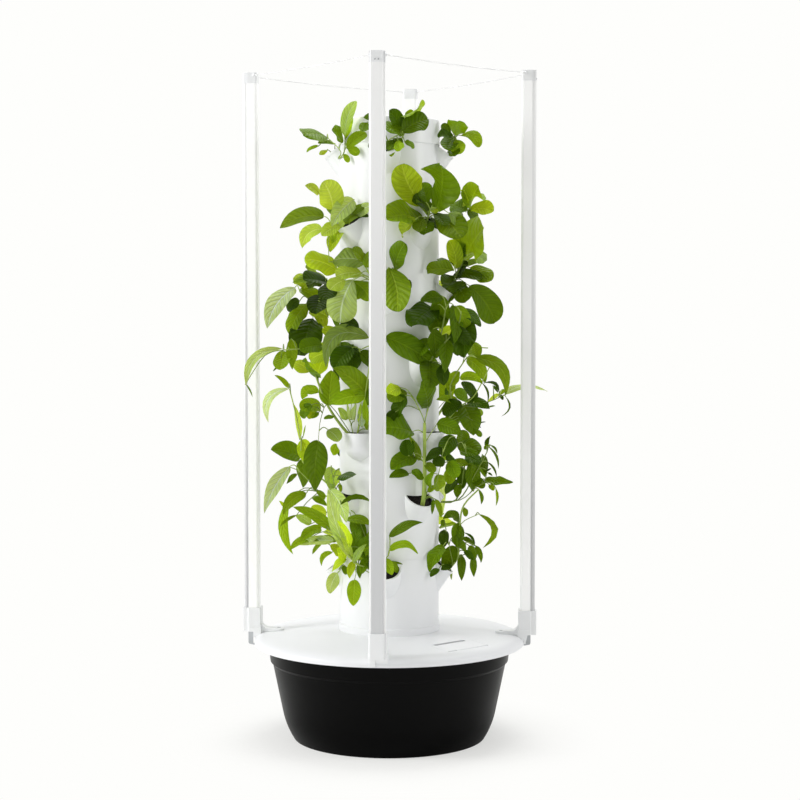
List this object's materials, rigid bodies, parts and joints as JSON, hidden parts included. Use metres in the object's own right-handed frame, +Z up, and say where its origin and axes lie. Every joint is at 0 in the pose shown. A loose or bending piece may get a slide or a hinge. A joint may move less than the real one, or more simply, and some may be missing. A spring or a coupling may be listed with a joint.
{
  "type": "vertical planter tower",
  "caption": "Upright hydroponic planter: stacked white tower with scoop ports full of herbs and greens on a round lidded tub, with slim light bars round it.",
  "frame": {"origin": "on the floor under the middle of the tub", "axes": "+Z up along the tower, -Y towards the front light bar, +X towards the right light bar"},
  "size_m": [0.666, 0.6659, 1.499],
  "materials": {
    "tub_black": "matte with a fine grain",
    "rubber_black": "matte",
    "lid_white": "satin",
    "steel": "satin",
    "tower_white": "satin",
    "pump_black": "matte",
    "leaf_light": "soft sheen, living leaves",
    "leaf_mid": "soft sheen, living leaves",
    "leaf_dark": "soft sheen, living leaves",
    "cup_dark": "matte",
    "medium_dark": "rough, damp growing medium",
    "bracket_white": "satin",
    "bar_housing": "satin, pale coating",
    "bar_cover": "clear, glossy",
    "light_board": "matte white board with pale chips",
    "cord_pale": "thin pale line",
    "clip_metal": "satin, pale grey coating"
  },
  "bodies": {
    "tub": {"tub": "tub_black", "lead_grommet": "rubber_black", "pump_housing": "pump_black", "pump_cover": "pump_black", "pump_feet": "rubber_black"},
    "lid_and_tower": {"lid": "lid_white", "hatch_pin": "steel", "base_section": "tower_white", "lower_section": "tower_white", "middle_section": "tower_white", "upper_section": "tower_white", "distributor_dish": "tower_white", "riser_pipe": "tower_white", "net_cups": "cup_dark", "growing_medium": "medium_dark", "end_cap_screws": "steel", "bracket_screws": "steel", "rim_clips": "clip_metal", "plants_row_1": "leaf_light", "plants_row_2": "leaf_mid", "plants_row_3": "leaf_dark", "plants_row_4": "leaf_mid", "plants_row_5": "leaf_dark", "plants_row_6": "leaf_mid", "plants_row_7": "leaf_light", "tie_cord_back_right": "cord_pale", "tie_cord_back_left": "cord_pale", "tie_cord_front_left": "cord_pale", "tie_cord_front_right": "cord_pale", "bracket_right": "bracket_white", "light_housing_right": "bar_housing", "light_cover_right": "bar_cover", "light_strip_right": "light_board", "light_end_cap_right": "bracket_white", "bracket_back": "bracket_white", "light_housing_back": "bar_housing", "light_cover_back": "bar_cover", "light_strip_back": "light_board", "light_end_cap_back": "bracket_white", "bracket_left": "bracket_white", "light_housing_left": "bar_housing", "light_cover_left": "bar_cover", "light_strip_left": "light_board", "light_end_cap_left": "bracket_white", "bracket_front": "bracket_white", "light_housing_front": "bar_housing", "light_cover_front": "bar_cover", "light_strip_front": "light_board", "light_end_cap_front": "bracket_white"},
    "hatch": {"filling_hatch": "lid_white"},
    "cap": {"top_cap": "tower_white"},
    "impeller": {"pump_impeller": "pump_black"}
  },
  "joints": [
    {"name": "lid_lift", "type": "slide", "parent": "tub", "child": "lid_and_tower", "axis": [0, 0, 1], "range_m": [0, 0.06]},
    {"name": "hatch_hinge", "type": "hinge", "parent": "lid_and_tower", "child": "hatch", "pos_m": [0.18668, -0.18668, 0.23515], "axis": [0.7071, 0.7071, 0], "range_deg": [0, 100]},
    {"name": "cap_lift", "type": "slide", "parent": "lid_and_tower", "child": "cap", "axis": [0, 0, 1], "range_m": [0, 0.05]},
    {"name": "impeller_spin", "type": "hinge", "parent": "tub", "child": "impeller", "pos_m": [0, 0, 0.039], "axis": [1, 0, 0], "continuous": true}
  ]
}
